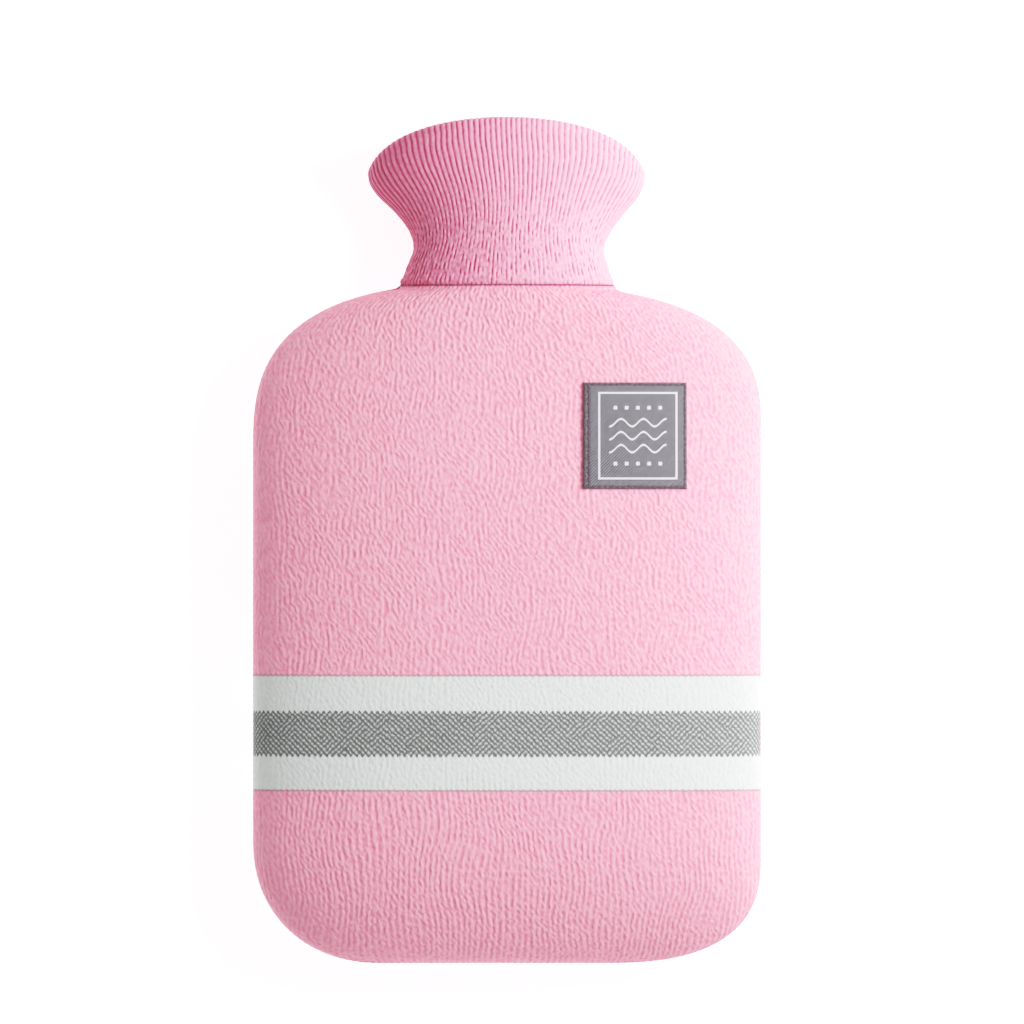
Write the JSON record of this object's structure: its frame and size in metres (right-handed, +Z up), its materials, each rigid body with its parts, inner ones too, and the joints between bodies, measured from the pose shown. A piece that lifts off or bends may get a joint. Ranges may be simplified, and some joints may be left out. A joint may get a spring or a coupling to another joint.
{
  "type": "knitted hot water bottle cover",
  "caption": "Soft knitted cover for a hot water bottle, with a ribbed flaring collar, knitted-in stripes and a sewn woven label, filled out and lying on its back.",
  "frame": {"origin": "on the surface that the cover lies on, under the middle of the cover", "axes": "+X across the cover to the side with the label, +Y along it from the bottom seam to the mouth, +Z up out of the front"},
  "size_m": [0.2044, 0.3398, 0.0598],
  "materials": {
    "body_knit": "soft brushed knit in pink, with white and grey stripes",
    "rib_knit": "fine ribbed knit in pink",
    "label_weave": "fine grey twill, matt"
  },
  "bodies": {
    "root": {"front_panel": "body_knit", "back_panel": "body_knit", "neck_collar": "rib_knit", "label": "label_weave"}
  },
  "joints": []
}
